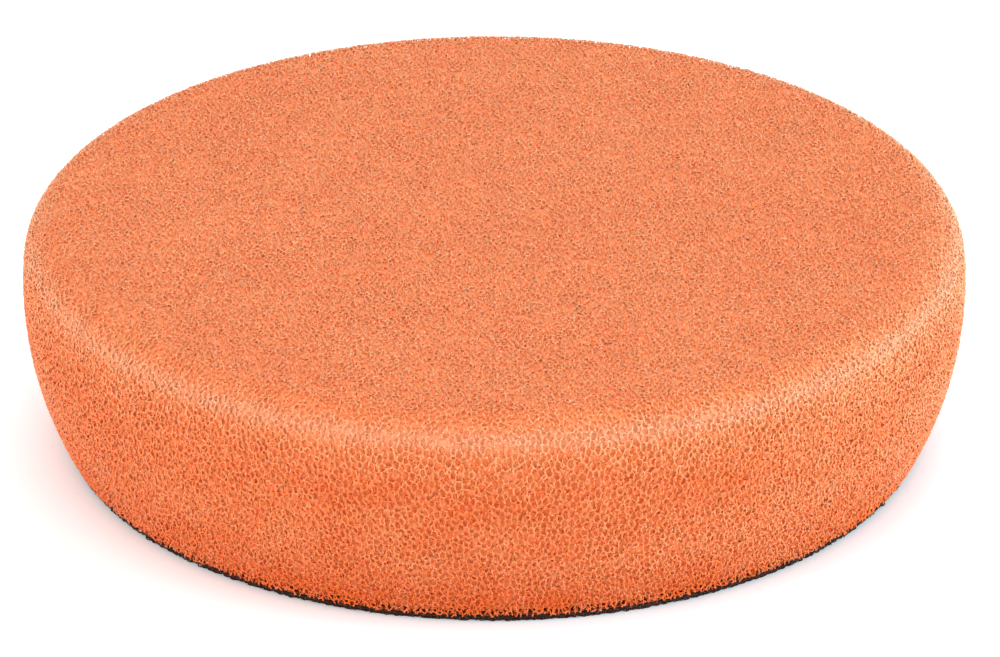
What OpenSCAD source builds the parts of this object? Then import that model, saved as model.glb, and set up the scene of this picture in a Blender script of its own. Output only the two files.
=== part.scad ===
// Polishing pad: an open-cell foam disc on a hook-and-loop backing.
// It stands on its loop pile: z = 0 is the pile's underside, and +Z points out of the polishing face.

/* [Foam body] */
// Diameter at the widest place of the side
pad_d = 160; // [80:1:180]
// Height of the whole pad, loop pile included
pad_h = 38.4; // [35:0.1:50]
// Height of the widest place of the side, above the underside
widest_z = 26.5; // [18:0.5:27]
// Radius of the arc that bulges the side outwards
side_r = 57; // [54:1:120]
// Radius of the rounded shoulder between the side and the polishing face
shoulder_r = 7; // [4:0.5:8]

/* [Hook-and-loop backing] */
// Thickness of the hot-melt film that bonds the cloth to the foam
film_t = 0.2; // [0.1:0.05:0.5]
// Thickness of the knitted ground cloth
cloth_t = 0.4; // [0.3:0.05:1]
// Height of the loop pile under the ground cloth
pile_t = 0.8; // [0.5:0.05:2]
// How far the film's edge stands inside the foam's lower edge
film_inset = 0.5; // [0.2:0.1:2]
// How far the ground cloth's edge stands inside the foam's lower edge
cloth_inset = 0.3; // [0.1:0.1:2]
// How far the loop pile's edge stands inside the foam's lower edge
pile_inset = 0.6; // [0.2:0.1:2]

/* [Hidden] */
$fn = 180;

// Levels of the stack, from the underside up
cloth_z = pile_t;
film_z = cloth_z + cloth_t;
foam_z = film_z + film_t;

// The side is an arc centred level with the widest place
pad_r = pad_d / 2;
side_centre_r = pad_r - side_r;
foot_r = side_centre_r + sqrt(pow(side_r, 2) - pow(widest_z - foam_z, 2));

// The shoulder arc touches the side arc from inside and runs into the flat face
shoulder_z = pad_h - shoulder_r;
shoulder_rise = shoulder_z - widest_z;
shoulder_reach = sqrt(pow(side_r - shoulder_r, 2) - pow(shoulder_rise, 2));
face_r = side_centre_r + shoulder_reach;
blend_angle = atan2(shoulder_rise, shoulder_reach);
blend_r = side_centre_r + side_r * cos(blend_angle);
blend_z = widest_z + side_r * sin(blend_angle);

// Half of the section inside the side arc, from the foam's foot up to where the shoulder begins
module side_section() {
    intersection() {
        translate([side_centre_r, widest_z])
            circle(r = side_r);
        translate([0, foam_z])
            square([pad_r, blend_z - foam_z]);
    }
}

// The shoulder's round corner, from where it leaves the side up to the face
module shoulder_section() {
    intersection() {
        translate([face_r, shoulder_z])
            circle(r = shoulder_r);
        translate([face_r, blend_z])
            square([shoulder_r, pad_h - blend_z]);
    }
    translate([0, blend_z])
        square([face_r, pad_h - blend_z]);
}

// A flat disc of the backing's stack, its edge standing inside the foam's foot
module backing_disc(z, thickness, inset) {
    translate([0, 0, z])
        cylinder(r = foot_r - inset, h = thickness);
}

module foam_body() {
    color([0.93, 0.52, 0.36])
        rotate_extrude()
            union() {
                side_section();
                shoulder_section();
            }
}

module adhesive_film() {
    color([0.62, 0.30, 0.20])
        backing_disc(film_z, film_t, film_inset);
}

module backing_cloth() {
    color([0.13, 0.11, 0.11])
        backing_disc(cloth_z, cloth_t, cloth_inset);
}

module loop_pile() {
    color([0.20, 0.17, 0.16])
        backing_disc(0, pile_t, pile_inset);
}

foam_body();
adhesive_film();
backing_cloth();
loop_pile();
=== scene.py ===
"""Looks for the polishing pad, an open-cell foam disc on a hook-and-loop backing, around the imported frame."""

import itertools
import math

import bpy
import numpy as np
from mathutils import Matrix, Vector


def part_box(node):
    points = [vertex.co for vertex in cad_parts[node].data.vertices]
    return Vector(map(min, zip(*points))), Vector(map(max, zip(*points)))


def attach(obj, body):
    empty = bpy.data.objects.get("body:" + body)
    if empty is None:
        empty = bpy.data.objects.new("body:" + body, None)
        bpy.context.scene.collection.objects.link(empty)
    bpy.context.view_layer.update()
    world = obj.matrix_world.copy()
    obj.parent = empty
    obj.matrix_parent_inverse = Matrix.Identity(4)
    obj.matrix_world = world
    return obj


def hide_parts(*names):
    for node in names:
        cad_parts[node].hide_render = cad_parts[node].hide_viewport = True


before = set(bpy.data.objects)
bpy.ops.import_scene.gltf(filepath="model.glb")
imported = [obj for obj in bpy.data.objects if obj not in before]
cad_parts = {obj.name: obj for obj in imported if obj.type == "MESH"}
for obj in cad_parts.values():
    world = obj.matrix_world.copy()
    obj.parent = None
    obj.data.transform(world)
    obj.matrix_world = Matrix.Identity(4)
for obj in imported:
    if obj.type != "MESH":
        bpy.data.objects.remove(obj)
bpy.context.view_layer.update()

MM = 0.001

# ---------------------------------------------------------------- the pad's section, in mm
SIDE_R = 57.0
SHOULDER_R = 7.0
WIDEST_Z = 26.5

foam_low, foam_high = (np.array(corner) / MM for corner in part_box("foam_body"))
PAD_R = foam_high[0]
TOP_Z = foam_high[2]
FOOT_Z = foam_low[2]
SIDE_CENTRE = PAD_R - SIDE_R
SHOULDER_Z = TOP_Z - SHOULDER_R
SHOULDER_RISE = SHOULDER_Z - WIDEST_Z
FACE_R = SIDE_CENTRE + math.sqrt((SIDE_R - SHOULDER_R) ** 2 - SHOULDER_RISE**2)
BLEND_ANGLE = math.atan2(SHOULDER_RISE, FACE_R - SIDE_CENTRE)
FOOT_R = SIDE_CENTRE + math.sqrt(SIDE_R**2 - (WIDEST_Z - FOOT_Z) ** 2)
FOOT_ANGLE = math.asin((FOOT_Z - WIDEST_Z) / SIDE_R)

# Lengths along the section, from the middle of the face out to the foot
SHOULDER_LENGTH = SHOULDER_R * (math.pi / 2 - BLEND_ANGLE)
SIDE_LENGTH = SIDE_R * (BLEND_ANGLE - FOOT_ANGLE)
SHOULDER_END = FACE_R + SHOULDER_LENGTH
SECTION_LENGTH = SHOULDER_END + SIDE_LENGTH


def surface_place(points):
    """Depth under the pad's outer surface, and place along its section, of points in mm."""
    r = np.hypot(points[..., 0], points[..., 1])
    z = points[..., 2]
    side_x, side_z = r - SIDE_CENTRE, z - WIDEST_Z
    side_depth = SIDE_R - np.hypot(side_x, side_z)
    face_depth = TOP_Z - z
    corner_x, corner_z = r - FACE_R, z - SHOULDER_Z
    corner_angle = np.arctan2(corner_z, corner_x)
    in_corner = (corner_x > 0) & (corner_angle > BLEND_ANGLE)
    corner_depth = SHOULDER_R - np.hypot(corner_x, corner_z)
    depth = np.where(in_corner, corner_depth, np.minimum(side_depth, face_depth))
    on_side = ~in_corner & (side_depth < face_depth)
    side_angle = np.arctan2(side_z, np.maximum(side_x, 1e-3))
    along_side = SHOULDER_END + SIDE_R * (BLEND_ANGLE - side_angle)
    along_corner = FACE_R + SHOULDER_R * (math.pi / 2 - corner_angle)
    along = np.where(on_side, along_side, np.minimum(r, FACE_R))
    along = np.where(in_corner, along_corner, along)
    return depth, along


def outward(points):
    """Unit vectors straight out of the pad's surface at points near it, in mm."""
    r = np.hypot(points[..., 0], points[..., 1])
    z = points[..., 2]
    _, along = surface_place(points)
    shoulder_turn = math.pi / 2 - (along - FACE_R) / SHOULDER_R
    side_turn = np.arctan2(z - WIDEST_Z, r - SIDE_CENTRE)
    turn = np.where(along <= SHOULDER_END, shoulder_turn, side_turn)
    turn = np.where(along <= FACE_R, math.pi / 2, turn)
    reach = np.cos(turn) / np.maximum(r, 1e-6)
    return np.stack([points[..., 0] * reach, points[..., 1] * reach, np.sin(turn)], -1)


def section_point(along, depth):
    """(r, z) in mm of places along the section at a depth under it."""
    turn = math.pi / 2 - (along - FACE_R) / SHOULDER_R
    side_turn = BLEND_ANGLE - (along - SHOULDER_END) / SIDE_R
    shoulder_reach, side_reach = SHOULDER_R - depth, SIDE_R - depth
    part = [along <= FACE_R, along <= SHOULDER_END]
    on_shoulder = FACE_R + shoulder_reach * np.cos(turn), SHOULDER_Z + shoulder_reach * np.sin(turn)
    on_side = SIDE_CENTRE + side_reach * np.cos(side_turn), WIDEST_Z + side_reach * np.sin(side_turn)
    r = np.select(part, [along, on_shoulder[0]], on_side[0])
    z = np.select(part, [TOP_Z - depth, on_shoulder[1]], on_side[1])
    return r, z


# ---------------------------------------------------------------- one repeat of open-cell foam
CELL = 1.12        # mm across a cell
CELL_RISE = 1.45   # how much taller than wide the cells are
SEEDS = 700        # cells in one repeat
EVEN_STEPS = 14    # how many times the cells push each other apart
PUSH_REACH = 1.15  # how near cells push each other, against the width of one
PUSH = 0.25        # how hard they do
RELAX = 0.4        # how far each corner then moves towards the middle of its neighbours
MEMBERS = 34       # neighbours that may share a corner with a cell
NEAR = 60          # neighbours that may reach into a corner
TRIOS = ((1, 2, 3), (0, 2, 3), (0, 1, 3), (0, 1, 2))  # the other three of four things, for each of them


def even_seeds(rng, count):
    """Points in a unit box that wraps round, pushed apart until they are evenly spread."""
    points = rng.random((count, 3))
    reach = PUSH_REACH * count ** (-1 / 3)
    for _ in range(EVEN_STEPS):
        apart = points[:, None] - points[None]
        apart -= np.round(apart)
        distance = np.sqrt((apart**2).sum(2)) + np.eye(count)
        push = np.clip(1 - distance / reach, 0, None) / distance
        points = (points + PUSH * reach * (apart * push[..., None]).sum(1)) % 1
    return points


def foam_graph(seeds):
    """The corners where four foam cells meet: the seeds' Voronoi diagram, in a unit box that wraps round.

    For each corner's four struts: the corner at the other end, which of that one's struts comes back, the
    vector to it, and how many boxes along it is.
    """
    count = len(seeds)
    offsets = seeds[None] - seeds[:, None]
    offsets -= np.round(offsets)
    near = np.argsort((offsets**2).sum(2), axis=1)[:, 1 : NEAR + 1]
    triples = np.array(list(itertools.combinations(range(MEMBERS), 3)))
    corners, cells = [], []
    for i in range(count):
        around = offsets[i, near[i]]
        mine = triples[(near[i][triples] > i).all(axis=1)]
        sides = around[mine]
        solid = np.abs(np.linalg.det(sides)) > 1e-12
        mine, sides = mine[solid], sides[solid]
        centre = np.linalg.solve(2 * sides, (sides**2).sum(2)[..., None])[..., 0]
        gap = (around**2).sum(1)[None] - 2 * centre @ around.T
        empty = (gap > -1e-9).all(axis=1)
        corners.append(seeds[i] + centre[empty])
        cells.append(np.column_stack([np.full(empty.sum(), i), near[i][mine[empty]]]))
    corners, cells = np.vstack(corners), np.vstack(cells)
    faces = np.sort(cells[:, TRIOS], axis=2).reshape(-1, 3).astype(np.int64)
    key = (faces[:, 0] * count + faces[:, 1]) * count + faces[:, 2]
    order = np.argsort(key, kind="stable")
    same = key[order][1:] == key[order][:-1]
    first, second = order[:-1][same], order[1:][same]
    partner = np.full(len(key), -1)
    partner[first], partner[second] = second, first
    partner = partner.reshape(-1, 4)
    good = (partner >= 0).all(axis=1)
    if not good.all():
        raise RuntimeError(f"{(~good).sum()} foam corners lack a neighbour")
    other, back = partner // 4, partner % 4
    vector = corners[other] - corners[:, None]
    vector -= np.round(vector)
    # Real foam's corners lie evenly between their neighbours
    shift = RELAX * vector.mean(axis=1)
    corners = corners + shift
    vector = vector + shift[other] - shift[:, None]
    wrapped = corners % 1
    steps = np.round(wrapped[:, None] + vector - wrapped[other]).astype(int)
    return wrapped, other, back, vector, steps


# ---------------------------------------------------------------- the foam's struts
FACE_SHELL = 0.72          # mm, how deep the struts go under the face before the core hides the rest
SIDE_SHELL = 0.95          # mm, the same under the side
STRUT = 0.156              # mm, from a corner's middle to its points
THICKER = (0.7, 1.3)       # least and most of STRUT that a corner is
THICK_ALONG = (0.9, 1.0)   # share of that on the face and on the side
TIP_SHRINK = 0.85          # how thick a strut's end is, against its root
TIP_BEND = 0.9             # how far a strut's shading bends over its end
BROKEN = 0.14              # share of struts that cutting has broken
BROKEN_AT = (0.1, 0.35)    # how far along a broken strut its stump reaches
RAGGED = (0.75, 1.0)       # how much of its way to the surface a cut strut keeps
CORE_CUT = 0.9             # how far along its way a strut ends that runs into the core
FRINGE = 0.25              # mm that strut ends hang under the foam's foot, outside the backing
SECTORS = 24               # meshes of struts around the pad
DEPTH_LAYERS = 3           # bands of the bake map, for struts nearer the surface and further in
MAP_MARGIN = 0.01          # part of a band left free at each of its edges
BACKING_GAP = 0.3          # mm from the foam's outer edge that the backing leaves bare


def shell(along):
    """How deep the struts go, in mm, at a place along the section."""
    return np.interp(along, (FACE_R, SHOULDER_END), (FACE_SHELL, SIDE_SHELL))


def turned(axis, degrees):
    """A 3x3 rotation about x or z."""
    a = math.radians(degrees)
    c, s = math.cos(a), math.sin(a)
    turns = {"x": [[1, 0, 0], [0, c, -s], [0, s, c]], "z": [[c, -s, 0], [s, c, 0], [0, 0, 1]]}
    return np.array(turns[axis])


def foam_shell(rng):
    """The foam's corners that lie in the pad's outer shell: place, depth and place along the section.

    For each one's four struts: the vector along it, the corner at its other end, or -1 where that lies
    outside the shell, and which of that one's struts comes back.
    """
    corners, other, back, vector, steps = foam_graph(even_seeds(rng, SEEDS))
    side = (SEEDS * math.pi / 6) ** (1 / 3) * CELL
    # Turned so that its repeats line up with neither the face nor the side
    spin = turned("z", 23.0) @ turned("x", 37.0) @ turned("z", 51.0)
    to_mm = np.diag([1, 1, CELL_RISE]) @ spin * side
    half = np.array([[x, y, z] for x in (-PAD_R, PAD_R) for y in (-PAD_R, PAD_R) for z in (0, TOP_Z)])
    reach = half @ np.linalg.inv(to_mm).T
    low, high = np.floor(reach.min(0)).astype(int) - 1, np.ceil(reach.max(0)).astype(int) + 1
    repeats = low + np.stack(np.indices(high - low), -1).reshape(-1, 3)
    middle = (repeats + 0.5) @ to_mm.T
    depth, _ = surface_place(middle)
    ball = side * CELL_RISE * math.sqrt(3) / 2
    near = (depth > -ball) & (depth < SIDE_SHELL + ball)
    near &= (middle[:, 2] > -ball) & (middle[:, 2] < TOP_Z + ball)
    repeats = repeats[near]
    points = (corners[None] + repeats[:, None]) @ to_mm.T
    depth, along = surface_place(points)
    radius = np.hypot(points[..., 0], points[..., 1])
    lowest = np.where(radius > FOOT_R - BACKING_GAP, FOOT_Z - FRINGE, FOOT_Z)
    kept = (depth > 0) & (depth < shell(along)) & (points[..., 2] > lowest)
    tile, corner = np.nonzero(kept)
    number = np.full(kept.shape, -1)
    number[tile, corner] = np.arange(len(tile))
    span = repeats.max(0) - repeats.min(0) + 3
    base = repeats.min(0) - 1
    tile_at = np.full(span, -1)
    tile_at[tuple((repeats - base).T)] = np.arange(len(repeats))
    beside = repeats[tile][:, None] + steps[corner] - base
    beside_tile = tile_at[tuple(np.moveaxis(beside, -1, 0))]
    mate = np.where(beside_tile >= 0, number[beside_tile, other[corner]], -1)
    return points[kept], depth[kept], along[kept], vector[corner] @ to_mm.T, mate, back[corner]


WEAR_AND_HIGHLIGHT_AT = FACE_R + 7.2   # mm along the section, where the foam is most worn and the painted highlight strongest
WEAR_AND_HIGHLIGHT_REACH = (1.7, 2.4)  # mm that the wear and the painted highlight reach down the side and up the shoulder


def wear_and_highlight(along):
    """How pale the shoulder is, 0 to 1, partly from grinding wear and partly a painted highlight: most on its
    lower half.
    """
    reach = along - WEAR_AND_HIGHLIGHT_AT
    return np.exp(-((reach / np.where(reach > 0, *WEAR_AND_HIGHLIGHT_REACH)) ** 2))


def painted_shade(along):
    """How much painted shade darkens the orange, 0 to 1, at a place along the section: none on the face, more
    down the side and most at the foot.
    """
    places = FACE_R + np.array([8, 11, 14, 17, 26, 31, 34, 37, 42])
    return np.interp(along, places, (0.0, 0.15, 0.45, 0.65, 0.55, 0.6, 0.8, 0.95, 1.1))


def strut_cuts(rng, place, depth, vector, mate, back, sector):
    """Which struts are whole, and how far along each of the others it is cut."""
    ends = place[:, None] + vector
    end_depth, _ = surface_place(ends)
    same_sector = (mate >= 0) & (np.where(mate >= 0, sector[mate], -1) == sector[:, None])

    # A broken strut is broken from both of its ends
    broken = rng.random(mate.shape) < BROKEN
    i, f = np.nonzero(mate > np.arange(len(mate))[:, None])
    broken[mate[i, f], back[i, f]] = broken[i, f]

    # Cut in the core, at the surface, at the foot, at its sector's edge, or where it is broken
    cut = np.full(mate.shape, CORE_CUT)
    outside = end_depth < 0
    at_surface = depth[:, None] / np.maximum(depth[:, None] - end_depth, 1e-6)
    ragged = rng.uniform(*RAGGED, mate.shape)
    cut = np.where(outside, np.minimum(at_surface, 1) * ragged, cut)
    lowest = FOOT_Z - FRINGE
    at_foot = (place[:, None, 2] - lowest) / np.maximum(place[:, None, 2] - ends[..., 2], 1e-6)
    cut = np.where((ends[..., 2] < lowest) & ~outside, np.clip(at_foot, 0.05, CORE_CUT) * ragged, cut)
    cut = np.where((mate >= 0) & ~same_sector, 0.5, cut)
    cut = np.where((mate >= 0) & broken, rng.uniform(*BROKEN_AT, mate.shape), cut)
    return same_sector & ~broken, cut


def strut_meshes(rng):
    """Each sector's struts as one closed mesh: vertices, quads, triangles, looks, normals and bake map.

    A corner of the foam is a tetrahedron whose points lie opposite its struts. A strut is a three-sided
    prism from one corner's three points to the other's, or to a cap where it ends.
    """
    place, depth, along, vector, mate, back = foam_shell(rng)
    count = len(place)
    way = vector / np.linalg.norm(vector, axis=2, keepdims=True)
    thick = STRUT * rng.uniform(*THICKER, count) * np.interp(along, (FACE_R, SHOULDER_END), THICK_ALONG)
    bud = -way * thick[:, None, None]
    # The three points of a corner that each strut grows from, anticlockwise about the strut
    trio = np.tile(TRIOS, (count, 1, 1))
    rows = np.arange(count)[:, None, None]
    foot = bud[rows, trio]
    across = np.cross(foot[:, :, 1] - foot[:, :, 0], foot[:, :, 2] - foot[:, :, 0])
    flip = (across * way).sum(2) < 0
    trio[flip] = trio[flip][:, [0, 2, 1]]
    foot = bud[rows, trio]

    angle = np.arctan2(place[:, 1], place[:, 0]) % (2 * math.pi)
    sector = np.minimum((angle / (2 * math.pi) * SECTORS).astype(int), SECTORS - 1)
    whole, cut = strut_cuts(rng, place, depth, vector, mate, back, sector)
    layer = np.minimum((depth / shell(along) * DEPTH_LAYERS).astype(int), DEPTH_LAYERS - 1)

    def sides(first, second):
        """The three quads between two rows of three vertices."""
        return np.stack([first, np.roll(first, -1, 1), np.roll(second, -1, 1), second], -1).reshape(-1, 4)

    def map_place(u, v, band):
        """Places in the bake map: u across the sector, and v along the section inside a depth's band."""
        v = v * (1 - 2 * MAP_MARGIN) + MAP_MARGIN
        return np.stack([u, (v + band[:, None]) / DEPTH_LAYERS], -1).reshape(-1, 2)

    made = []
    for s in range(SECTORS):
        mine = np.nonzero(sector == s)[0]
        local = np.full(count, -1)
        local[mine] = np.arange(len(mine))
        points = (place[mine][:, None] + bud[mine]).reshape(-1, 3)

        # Whole struts, each once, with the two ends' points paired so that the prism twists least
        i, f = np.nonzero(whole[mine])
        i = mine[i]
        j, g = mate[i, f], back[i, f]
        once = i < j
        i, f, j, g = i[once], f[once], j[once], g[once]
        far_trio = trio[j, g][:, [0, 2, 1]]
        far_foot = bud[j[:, None], far_trio]
        shifts = np.array([[0, 1, 2], [1, 2, 0], [2, 0, 1]])
        miss = ((foot[i, f][:, None] - far_foot[:, shifts]) ** 2).sum((2, 3))
        best = shifts[miss.argmin(axis=1)]
        near_end = local[i][:, None] * 4 + trio[i, f]
        far_end = local[j][:, None] * 4 + np.take_along_axis(far_trio, best, axis=1)
        quads, quad_layer = sides(near_end, far_end), np.repeat(layer[i], 3)

        # Struts that end: their last three points and a cap
        i, f = np.nonzero(~whole[mine])
        i = mine[i]
        tips = place[i][:, None] + (cut[i, f][:, None] * vector[i, f])[:, None] + foot[i, f] * TIP_SHRINK
        near_end = local[i][:, None] * 4 + trio[i, f]
        caps = len(points) + np.arange(len(i) * 3).reshape(-1, 3)
        quads = np.vstack([quads, sides(near_end, caps)])
        quad_layer = np.append(quad_layer, np.repeat(layer[i], 3))
        tip_normals = foot[i, f] / thick[i][:, None, None] + TIP_BEND * way[i, f][:, None]

        # Light soaks through thin struts, so their shading turns towards the way the pad's surface faces
        verts = np.vstack([points, tips.reshape(-1, 3)])
        away = outward(verts)
        normals = np.vstack([-way[mine].reshape(-1, 3), tip_normals.reshape(-1, 3)])
        normals /= np.linalg.norm(normals, axis=1, keepdims=True)
        normals += (1 + (normals * away).sum(axis=1, keepdims=True)) * away

        vert_depth, vert_along = surface_place(verts)
        vert_depth[: len(points)] = np.repeat(depth[mine], 4)
        vert_depth = np.clip(vert_depth / shell(vert_along), 0, 1)
        looks = {"depth": vert_depth, "wear_and_highlight": wear_and_highlight(vert_along), "painted_shade": painted_shade(vert_along)}
        wide = 2 * math.pi / SECTORS
        turn = (np.arctan2(verts[:, 1], verts[:, 0]) - s * wide + math.pi) % (2 * math.pi) - math.pi
        u, v = np.clip(turn / wide, 0, 1), np.clip(vert_along / SECTION_LENGTH, 0, 1)
        uv = np.vstack([map_place(u[quads], v[quads], quad_layer), map_place(u[caps], v[caps], layer[i])])
        made.append((verts, quads, caps, looks, normals, uv))
    return made


def new_mesh(name, verts, faces, uv=None, looks=None, normals=None):
    """A smooth mesh object from vertices in mm and face arrays.

    uv is the bake map, looks the attributes that colour it, and normals the ones that shade it.
    """
    mesh = bpy.data.meshes.new(name)
    loops = np.concatenate([f.reshape(-1) for f in faces])
    sizes = np.concatenate([np.full(len(f), f.shape[1]) for f in faces])
    mesh.vertices.add(len(verts))
    mesh.vertices.foreach_set("co", (verts * MM).astype(np.float32).ravel())
    mesh.loops.add(len(loops))
    mesh.loops.foreach_set("vertex_index", loops.astype(np.int32))
    mesh.polygons.add(len(sizes))
    mesh.polygons.foreach_set("loop_start", (np.cumsum(sizes) - sizes).astype(np.int32))
    mesh.update(calc_edges=True)
    mesh.polygons.foreach_set("use_smooth", np.ones(len(sizes), bool))
    if uv is not None:
        layer = mesh.uv_layers.new(name="OFBake")
        layer.data.foreach_set("uv", uv.astype(np.float32).ravel())
    for key, values in (looks or {}).items():
        attribute = mesh.attributes.new(key, "FLOAT", "POINT")
        attribute.data.foreach_set("value", values.astype(np.float32))
    if normals is not None:
        normals = normals / np.linalg.norm(normals, axis=1, keepdims=True)
        attribute = mesh.attributes.new("custom_normal", "FLOAT_VECTOR", "POINT")
        attribute.data.foreach_set("vector", normals.astype(np.float32).ravel())
    obj = bpy.data.objects.new(name, mesh)
    bpy.context.scene.collection.objects.link(obj)
    return obj


# ---------------------------------------------------------------- materials
def srgb(r, g, b):
    """A linear colour from screen values of 0 to 255."""
    linear = [((c / 255 + 0.055) / 1.055) ** 2.4 if c > 10 else c / 255 / 12.92 for c in (r, g, b)]
    return (*linear, 1.0)


class Paint:
    """A Principled material with short ways to add the nodes that colour it."""

    def __init__(self, name, roughness, sheen=0.0, specular=0.3):
        self.material = bpy.data.materials.new(name)
        self.material.use_nodes = True
        self.nodes, self.links = self.material.node_tree.nodes, self.material.node_tree.links
        self.shader = self.nodes["Principled BSDF"]
        self.shader.inputs["Roughness"].default_value = roughness
        self.shader.inputs["Specular IOR Level"].default_value = specular
        self.shader.inputs["Sheen Weight"].default_value = sheen
        self.shader.inputs["Sheen Roughness"].default_value = 0.5
        self.shader.inputs["Sheen Tint"].default_value = (1, 0.92, 0.84, 1)

    def soak(self, weight, reach):
        """Light soaks through the material, red furthest, over about reach mm."""
        self.shader.inputs["Subsurface Weight"].default_value = weight
        self.shader.inputs["Subsurface Radius"].default_value = (1, 0.7, 0.6)
        self.shader.inputs["Subsurface Scale"].default_value = reach * MM

    def set(self, socket, value):
        """Gives a socket a value or another node's output."""
        if isinstance(value, bpy.types.NodeSocket):
            self.links.new(value, socket)
        else:
            socket.default_value = value

    def attribute(self, name):
        """One of the mesh's own looks."""
        node = self.nodes.new("ShaderNodeAttribute")
        node.attribute_name = name
        return node.outputs["Fac"]

    def place(self, scale):
        """Position in the pad, in mm over scale along x, y and z."""
        where = self.nodes.new("ShaderNodeTexCoord")
        node = self.nodes.new("ShaderNodeMapping")
        node.inputs["Scale"].default_value = [1 / MM / size for size in scale]
        self.links.new(where.outputs["Object"], node.inputs["Vector"])
        return node.outputs["Vector"]

    def noise(self, scale, detail=2.0):
        """Smooth noise of 0 to 1 whose lumps are about scale mm along x, y and z."""
        node = self.nodes.new("ShaderNodeTexNoise")
        node.inputs["Scale"].default_value = 1.0
        node.inputs["Detail"].default_value = detail
        self.links.new(self.place(scale), node.inputs["Vector"])
        return node.outputs["Fac"]

    def cells(self, scale, feature):
        """Distance inside cells about scale mm across, from their edges or their middles."""
        node = self.nodes.new("ShaderNodeTexVoronoi")
        node.feature = feature
        node.inputs["Scale"].default_value = 1.0
        self.links.new(self.place(scale), node.inputs["Vector"])
        return node.outputs["Distance"]

    def maths(self, operation, *values):
        """Arithmetic on one, two or three factors."""
        node = self.nodes.new("ShaderNodeMath")
        node.operation = operation
        for socket, value in zip(node.inputs, values):
            self.set(socket, value)
        return node.outputs[0]

    def ramp(self, factor, *stops):
        """A colour for a factor, from (factor, colour) stops."""
        node = self.nodes.new("ShaderNodeValToRGB")
        ramp = node.color_ramp
        while len(ramp.elements) < len(stops):
            ramp.elements.new(1.0)
        for element, (position, colour) in zip(ramp.elements, stops):
            element.position, element.color = position, colour
        self.set(node.inputs["Fac"], factor)
        return node.outputs["Color"]

    def fade(self, factor, low, high):
        """0 to 1 as factor goes from low to high."""
        node = self.nodes.new("ShaderNodeMapRange")
        self.set(node.inputs["Value"], factor)
        node.inputs["From Min"].default_value = low
        node.inputs["From Max"].default_value = high
        return node.outputs["Result"]

    def mix(self, factor, first, second):
        """The first colour, turning to the second as factor goes from 0 to 1."""
        node = self.nodes.new("ShaderNodeMix")
        node.data_type = "RGBA"
        self.set(node.inputs["Factor"], factor)
        self.set(node.inputs[6], first)
        self.set(node.inputs[7], second)
        return node.outputs[2]

    def bump(self, height, distance):
        """Relief about distance mm deep."""
        node = self.nodes.new("ShaderNodeBump")
        node.inputs["Distance"].default_value = distance * MM
        self.links.new(height, node.inputs["Height"])
        self.links.new(node.outputs["Normal"], self.shader.inputs["Normal"])

    def colour(self, value):
        """Sets the base colour, and ends the material."""
        self.set(self.shader.inputs["Base Color"], value)
        return self.material


# Pale orange of the worn shoulder, which also serves as a painted highlight there
WEAR_AND_HIGHLIGHT_PALE = srgb(230, 204, 180)


def foam_tone(paint, colour, painted_shade_colour, painted_shade_share, wear_and_highlight_share):
    """The foam's orange, deeper in soft patches and with painted shade low on the side, paler on the shoulder
    where it is worn and where a highlight is painted.

    One share says how far it turns to the dark colour of the painted shade low on the side, the other how far
    it turns pale on the shoulder, for wear and a painted highlight.
    """
    patch = paint.fade(paint.noise((11, 11, 7), 3.0), 0.4, 0.7)
    # Painted shade: a darker orange low on the side and at the foot, with the soft patches added to it
    low = paint.attribute("painted_shade")
    patch = paint.maths("MULTIPLY", patch, paint.maths("MULTIPLY_ADD", low, 0.15, 0.15))
    shade_and_patches = paint.maths("MULTIPLY_ADD", low, painted_shade_share, patch)
    colour = paint.mix(shade_and_patches, colour, painted_shade_colour)
    # Paler on the shoulder: partly wear, partly a painted highlight
    return paint.mix(paint.maths("MULTIPLY", paint.attribute("wear_and_highlight"), wear_and_highlight_share), colour, WEAR_AND_HIGHLIGHT_PALE)


def foam_material():
    """Struts: painted paler near the surface, as if lit, and a deeper orange further in, as painted shade."""
    paint = Paint("foam_strut_orange", 0.8, 0.1, 0.05)
    paint.soak(0.85, 0.15)
    # Painted light and shade by depth: paler struts near the surface, as if lit, and a deeper orange further
    # in, as painted shade
    colour = paint.ramp(
        paint.attribute("depth"),
        (0.0, srgb(219, 147, 107)),
        (0.15, srgb(220, 144, 100)),
        (0.5, srgb(226, 137, 86)),
        (1.0, srgb(237, 125, 67)))
    grain = paint.noise((1.0, 1.0, 1.3), 2.0)
    grain = paint.maths("MULTIPLY", paint.fade(grain, 0.4, 0.65), 0.4)
    colour = paint.mix(grain, colour, srgb(224, 116, 56))
    return paint.colour(foam_tone(paint, colour, srgb(219, 92, 28), 0.65, 0.14))


def core_material():
    """What shows between the struts: further struts painted on, and painted shade in the mouths of further
    pores.
    """
    paint = Paint("foam_core_orange", 0.9, 0.15, 0.2)
    wall = paint.cells((0.7 * CELL, 0.7 * CELL, 0.7 * CELL * CELL_RISE), "DISTANCE_TO_EDGE")
    # Paler near the cells' edges for further struts, darker in their middles as painted shade in the pores
    colour = paint.ramp(
        wall,
        (0.1, srgb(243, 146, 92)),
        (0.26, srgb(244, 133, 76)),
        (0.42, srgb(237, 97, 48)))
    patch = paint.fade(paint.noise((1.6, 1.6, 2.2), 2.0), 0.4, 0.65)
    colour = paint.mix(paint.maths("MULTIPLY", patch, 0.5), colour, srgb(228, 90, 38))
    # Where the side's painted shade is slight, on the face and the shoulder, the painted pore shade mostly
    # gives way to one plain orange
    less_pore_shade = paint.fade(paint.attribute("painted_shade"), 0.4, 0.0)
    colour = paint.mix(paint.maths("MULTIPLY", less_pore_shade, 0.75), colour, srgb(240, 135, 81))
    return paint.colour(foam_tone(paint, colour, srgb(200, 58, 14), 0.25, 0.2))


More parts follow.
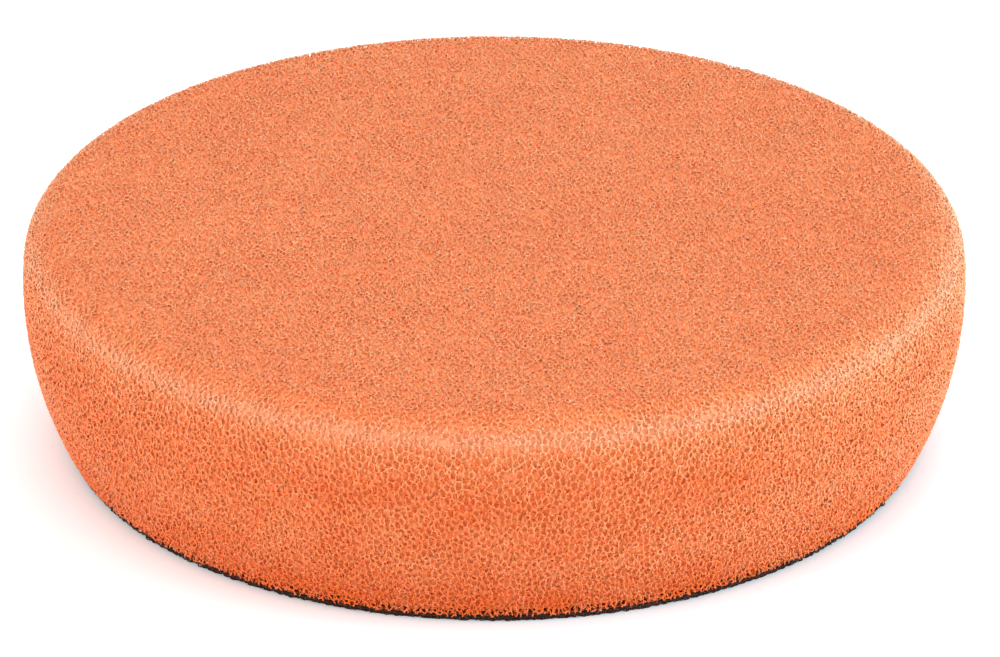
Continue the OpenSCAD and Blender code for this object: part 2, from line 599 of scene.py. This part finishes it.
def film_material():
    """Glossy dark red-brown film with smears in it."""
    paint = Paint("hot_melt_film", 0.45, 0.0, 0.5)
    smear = paint.noise((1.2, 1.2, 1.2), 3.0)
    colour = paint.ramp(smear, (0.3, srgb(92, 36, 20)), (0.7, srgb(132, 58, 34)))
    paint.bump(smear, 0.1)
    return paint.colour(colour)


def cloth_material():
    """Knitted ground cloth: dark, with a relief of stitches and painted shade between them."""
    paint = Paint("knitted_ground_cloth", 0.9, 0.05, 0.15)
    wales = paint.cells((0.9, 0.45, 0.6), "F1")
    # Painted shade: darker away from each stitch's middle, where the relief is lowest
    colour = paint.ramp(wales, (0.0, srgb(78, 38, 26)), (0.6, srgb(30, 14, 9)))
    paint.bump(paint.fade(wales, 0.7, 0.1), 0.12)
    return paint.colour(colour)


def pile_material():
    """Loop yarn: dark brown fibres, with soft darker patches."""
    paint = Paint("nylon_loops", 0.7, 0.0, 0.1)
    fibre = paint.noise((0.12, 0.12, 0.5), 2.0)
    shade = paint.fade(paint.noise((9, 9, 9), 2.0), 0.4, 0.7)
    colour = paint.ramp(fibre, (0.3, srgb(46, 18, 11)), (0.7, srgb(84, 40, 27)))
    colour = paint.mix(paint.maths("MULTIPLY", shade, 0.4), colour, srgb(30, 16, 13))
    paint.bump(fibre, 0.03)
    return paint.colour(colour)


# ---------------------------------------------------------------- ways to build pieces
def smooth_ring(rng, turns, waves, size):
    """A smooth closed wobble around a circle, of about size mm."""
    angles = np.linspace(0, 2 * math.pi, turns, endpoint=False)
    wobble = sum(rng.normal() * np.sin(k * angles + rng.uniform(0, 2 * math.pi)) for k in waves)
    return size * wobble / math.sqrt(len(waves) / 2)


def ring_faces(rows, turns, wobble=None):
    """A closed solid of revolution: vertices, quads and end caps.

    rows are its (r, z), the first and the last on the axis, and wobble moves the rim in and out.
    """
    angles = np.linspace(0, 2 * math.pi, turns, endpoint=False)
    r, z = (np.asarray(v, float) for v in rows)
    ends = np.array([[0, 0, z[0]], [0, 0, z[-1]]])
    r, z = r[1:-1, None], np.repeat(z[1:-1, None], turns, 1)
    if wobble is not None:
        r = r + wobble * (r / r.max()) ** 8
    verts = np.stack([r * np.cos(angles), r * np.sin(angles), z], -1).reshape(-1, 3)
    index = np.arange(len(verts)).reshape(-1, turns)
    after = np.roll(index, -1, 1)
    quads = np.stack([index[:-1], index[1:], after[1:], after[:-1]], -1).reshape(-1, 4)
    first, last = len(verts), len(verts) + 1
    caps = np.vstack([
        np.stack([np.full(turns, first), index[0], after[0]], -1),
        np.stack([np.full(turns, last), after[-1], index[-1]], -1)])
    return np.vstack([verts, ends]), quads, caps


def flat_map(verts, faces):
    """A bake map that looks straight down on the pad."""
    corners = np.concatenate([f.ravel() for f in faces])
    return verts[corners][:, :2] / PAD_R * 0.5 + 0.5


def core_mesh(rows, turns):
    """The foam's core, with a bake map unrolled around the axis and along the section."""
    verts, quads, caps = ring_faces(rows, turns)
    _, along = surface_place(verts)
    looks = {"wear_and_highlight": wear_and_highlight(along), "painted_shade": painted_shade(along)}
    column = (np.arange(len(quads)) % turns).repeat(4)
    column = np.append(column, np.tile(np.arange(turns), 2).repeat(3))
    right = [np.tile([0, 0, 1, 1], len(quads)), np.tile([0, 0, 1], turns), np.tile([0, 1, 0], turns)]
    right = np.concatenate(right)
    corners = np.append(quads.ravel(), caps.ravel())
    uv = np.stack([(column + right) / turns, along[corners] / SECTION_LENGTH], -1)
    return new_mesh("foam_core", verts, [quads, caps], uv, looks)


def tubes(paths, planes, radius, sides=3):
    """Closed tubes along many paths at once: vertices, quads and end caps.

    planes are the normals of the planes that the paths lie in.
    """
    along = np.gradient(paths, axis=1)
    along /= np.linalg.norm(along, axis=2, keepdims=True)
    across = np.broadcast_to(planes[:, None], paths.shape)
    third = np.cross(along, across)
    turn = 2 * math.pi * np.arange(sides) / sides
    ring = across[:, :, None] * np.cos(turn)[:, None] + third[:, :, None] * np.sin(turn)[:, None]
    verts = paths[:, :, None] + ring * radius
    index = np.arange(verts[..., 0].size).reshape(verts.shape[:3])
    after = np.roll(index, -1, 2)
    quads = np.stack([index[:, :-1], index[:, 1:], after[:, 1:], after[:, :-1]], -1).reshape(-1, 4)
    caps = np.vstack([index[:, 0], index[:, -1, ::-1]])
    return verts.reshape(-1, 3), quads, caps


# ---------------------------------------------------------------- the foam
rng = np.random.default_rng(20)
foam = foam_material()
foam_pieces = []
for s, (verts, quads, caps, looks, normals, uv) in enumerate(strut_meshes(rng)):
    piece = new_mesh(f"foam_struts_{s + 1:02d}", verts, [quads, caps], uv, looks, normals)
    piece.data.materials.append(foam)
    foam_pieces.append(piece)

CORE_ROWS = 150  # rings of vertices along the core's section
CORE_TURNS = 640  # vertices in each
CORE_LIFT = 0.1  # mm that the struts sink into the core
CORE_END = 0.6   # mm that the core's side stops short of the foot
core_along = np.linspace(0, SECTION_LENGTH - CORE_END, CORE_ROWS)
core_r, core_z = section_point(core_along, shell(core_along) - CORE_LIFT)
core = core_mesh((np.append(core_r, 0), np.append(core_z, core_z[-1])), CORE_TURNS)
core.data.materials.append(core_material())
foam_pieces.append(core)
for piece in foam_pieces:
    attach(piece, "root")
    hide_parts("foam_body")


# ---------------------------------------------------------------- the backing
RIM_TURNS = 720   # vertices around a layer of the backing
ROW_STEP = 4      # mm between its rings of them


def disc_rows(node, bevel):
    """(r, z) rows of a flat disc with bevelled rims, in the place of a CAD node."""
    low, high = (np.array(corner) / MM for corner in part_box(node))
    rim, bottom, top = high[0], low[2], high[2]
    inner = np.arange(ROW_STEP, rim - bevel, ROW_STEP)
    half = np.concatenate([[0], inner, [rim - bevel, rim]])
    upper = np.full(len(half), top)
    upper[-1] -= bevel
    lower = np.full(len(half), bottom)
    lower[-1] += bevel
    return np.concatenate([half, half[::-1]]), np.concatenate([upper, lower[::-1]])


def disc(name, node, bevel, wobble, material):
    """A layer of the backing."""
    verts, quads, caps = ring_faces(disc_rows(node, bevel), RIM_TURNS, wobble)
    piece = new_mesh(name, verts, [quads, caps], flat_map(verts, [quads, caps]))
    piece.data.materials.append(material)
    return piece


film_rim = smooth_ring(rng, RIM_TURNS, range(9, 160, 7), 0.12)
film = disc("adhesive_film_layer", "adhesive_film", 0.05, film_rim, film_material())
cloth_rim = smooth_ring(rng, RIM_TURNS, range(5, 120, 5), 0.06)
cloth = disc("ground_cloth", "backing_cloth", 0.1, cloth_rim, cloth_material())

LOOP_PITCH = 1.65        # mm between loops in a course
COURSE_PITCH = 1.5       # mm between courses
RIM_PITCH = 0.48         # mm between the loops along the rim
RIM_BAND = 0.9           # mm inside the rim that those loops fill
RIM_INSET = (0.05, 0.3)  # mm that they stand inside the pile's edge
LOOP_SPAN = 1.15         # mm, a loop's width
LOOP_STRAY = 0.14        # mm that a loop strays from its place
YARN = 0.13              # mm, the yarn's radius
pile_high = np.array(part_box("loop_pile")[1]) / MM
PILE_R, PILE_T = pile_high[0], pile_high[2]


def pile_loops(rng):
    """Arches of nylon yarn that hang from the ground cloth in courses, and closer ones along the rim."""
    steps = np.arange(-PILE_R, PILE_R, LOOP_PITCH)
    courses = np.arange(-PILE_R, PILE_R, COURSE_PITCH)
    x, y = np.meshgrid(steps, courses)
    x = x + (np.arange(len(courses)) % 2)[:, None] * LOOP_PITCH / 2
    spots = np.stack([x.ravel(), y.ravel()], -1) + rng.normal(0, LOOP_STRAY, (x.size, 2))
    spots = spots[np.hypot(*spots.T) < PILE_R - RIM_BAND]
    turn = rng.normal(0, 0.35, len(spots))
    rim_count = int(2 * math.pi * PILE_R / RIM_PITCH)
    rim_angle = (np.arange(rim_count) + rng.uniform(-0.3, 0.3, rim_count)) * 2 * math.pi / rim_count
    rim_r = PILE_R - YARN - rng.uniform(*RIM_INSET, rim_count)
    spots = np.vstack([spots, np.stack([rim_r * np.cos(rim_angle), rim_r * np.sin(rim_angle)], -1)])
    turn = np.concatenate([turn, rim_angle + math.pi / 2 + rng.normal(0, 0.3, rim_count)])
    count = len(spots)
    way = np.stack([np.cos(turn), np.sin(turn), np.zeros(count)], -1)
    plane = np.stack([-np.sin(turn), np.cos(turn), np.zeros(count)], -1)
    lean = rng.normal(0.1, 0.12, count)
    tall = (PILE_T - YARN) * rng.uniform(0.75, 1.0, count)
    tall[-rim_count:] = (PILE_T - YARN) * rng.uniform(0.95, 1.0, rim_count)
    t = np.linspace(0, 1, 5)
    span = LOOP_SPAN / 2 * (0.62 + 0.38 * np.sin(math.pi * t))
    span = span * -np.sign(0.5 - t) * np.abs(np.cos(math.pi * t)) ** 0.6
    drop = np.sin(math.pi * t) ** 0.5
    centre = np.column_stack([spots, np.full(count, PILE_T)])
    paths = centre[:, None] + way[:, None] * span[:, None]
    paths = paths + plane[:, None] * (lean[:, None] * drop)[..., None]
    paths[..., 2] -= tall[:, None] * drop
    return tubes(paths, plane, YARN)


verts, quads, caps = pile_loops(rng)
pile = new_mesh("nylon_loop_pile", verts, [quads, caps], flat_map(verts, [quads, caps]))
pile.data.materials.append(pile_material())

backing = ((film, "adhesive_film", "film"), (cloth, "backing_cloth", "cloth"), (pile, "loop_pile", "pile"))
for piece, node, slot in backing:
    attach(piece, "root")
    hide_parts(node)


# ---------------------------------------------------------------- stage, lights, camera
def aim(obj, target):
    """Turns a light or the camera to a point."""
    obj.rotation_mode = "QUATERNION"
    obj.rotation_quaternion = (Vector(target) - obj.location).to_track_quat("-Z", "Y")


FLOOR = 4000.0   # mm from the middle to each side
floor_corners = np.array([[-1, -1, 0], [1, -1, 0], [1, 1, 0], [-1, 1, 0]]) * FLOOR
floor = new_mesh("floor", floor_corners, [np.array([[0, 1, 2, 3]])])
floor.data.materials.append(Paint("floor_white", 0.9).colour((0.95, 0.95, 0.95, 1)))

PAD_MIDDLE = (0, 0, 0.02)


def area_light(name, place, size, watts, colour=(1, 1, 1)):
    """A soft round light that shines on the pad."""
    light = bpy.data.lights.new(name, "AREA")
    light.shape = "DISK"
    light.size = size
    light.energy = watts
    light.color = colour
    obj = bpy.data.objects.new(name, light)
    obj.location = place
    bpy.context.scene.collection.objects.link(obj)
    aim(obj, PAD_MIDDLE)


area_light("key", (0.8, -0.8, 0.5), 0.8, 3.5)
area_light("fill", (-0.85, -0.65, 0.35), 0.9, 7)
area_light("side", (1.0, -0.25, 0.2), 0.6, 12.5, (0.48, 0.84, 1))
area_light("back", (0.1, 1.1, 0.3), 0.7, 6)
world = bpy.data.worlds.new("studio")
bpy.context.scene.world = world
world.use_nodes = True
world.node_tree.nodes["Background"].inputs["Color"].default_value = (1, 1, 1, 1)
world.node_tree.nodes["Background"].inputs["Strength"].default_value = 1.22

camera = bpy.data.objects.new("camera", bpy.data.cameras.new("camera"))
bpy.context.scene.collection.objects.link(camera)
bpy.context.scene.camera = camera
ELEVATION = math.radians(26.45)
DISTANCE = 0.9
TARGET = Vector((0.00095, 0, 0.01584))
camera.location = TARGET + DISTANCE * Vector((0, -math.cos(ELEVATION), math.sin(ELEVATION)))
aim(camera, TARGET)
camera.data.sensor_width = 36
camera.data.lens = 189.1
camera.data.clip_start, camera.data.clip_end = 0.05, 20

bpy.context.scene.view_settings.view_transform = "Standard"
